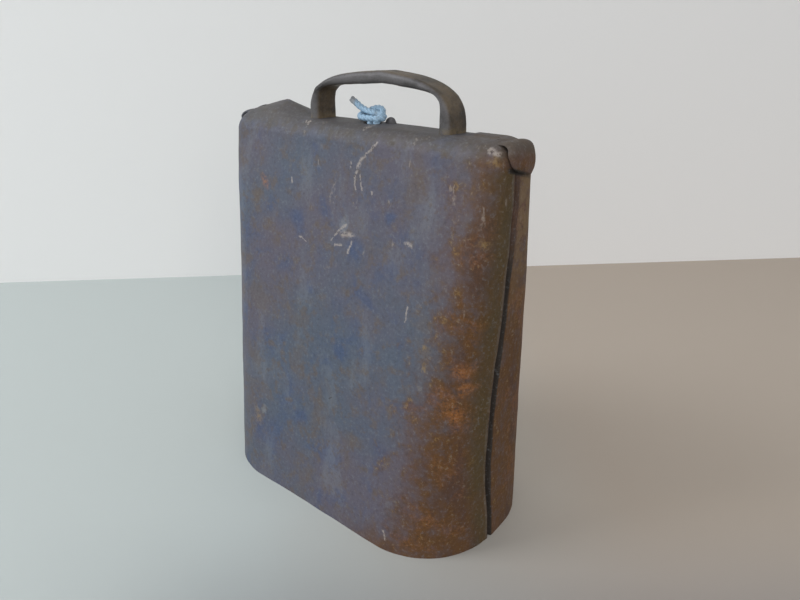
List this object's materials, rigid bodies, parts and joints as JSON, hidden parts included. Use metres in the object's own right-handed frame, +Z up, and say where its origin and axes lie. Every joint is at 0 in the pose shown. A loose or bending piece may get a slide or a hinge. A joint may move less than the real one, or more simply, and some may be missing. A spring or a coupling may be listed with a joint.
{
  "type": "cowbell",
  "caption": "Folded sheet-iron cowbell with lapped side seams, a forged strap handle and a ball clapper that swings on a knotted cord.",
  "frame": {"origin": "middle of the mouth, on the plane of the mouth rim that the bell stands on", "axes": "+X along the long side of the mouth, towards the cord knot's side of the handle; +Y through the broad faces, from the lapping front panel to the back panel; +Z up to the handle"},
  "size_m": [0.185, 0.1004, 0.2355],
  "materials": {
    "iron_sheet": "dark blue-grey patina with brown and orange rust",
    "forged_iron": "dark forged scale, slightly worn",
    "braze": "tarnished",
    "cord": "braided, faded blue"
  },
  "bodies": {
    "bell": {"bell_shell": "iron_sheet", "seam_braze_left": "braze", "seam_braze_right": "braze", "handle": "forged_iron", "handle_washer_left": "forged_iron", "handle_washer_right": "forged_iron", "cord_knot": "cord"},
    "cord": {"cord_loop": "cord"},
    "clapper": {"clapper_shank": "forged_iron", "clapper_ball": "forged_iron"}
  },
  "joints": [
    {"name": "cord_swing", "type": "hinge", "parent": "bell", "child": "cord", "pos_m": [0.004, 0, 0.2092], "axis": [0, 1, 0], "range_deg": [-23, 26]},
    {"name": "clapper_swing", "type": "hinge", "parent": "cord", "child": "clapper", "pos_m": [0.004, 0, 0.168], "axis": [1, 0, 0], "range_deg": [-11, 11]}
  ]
}
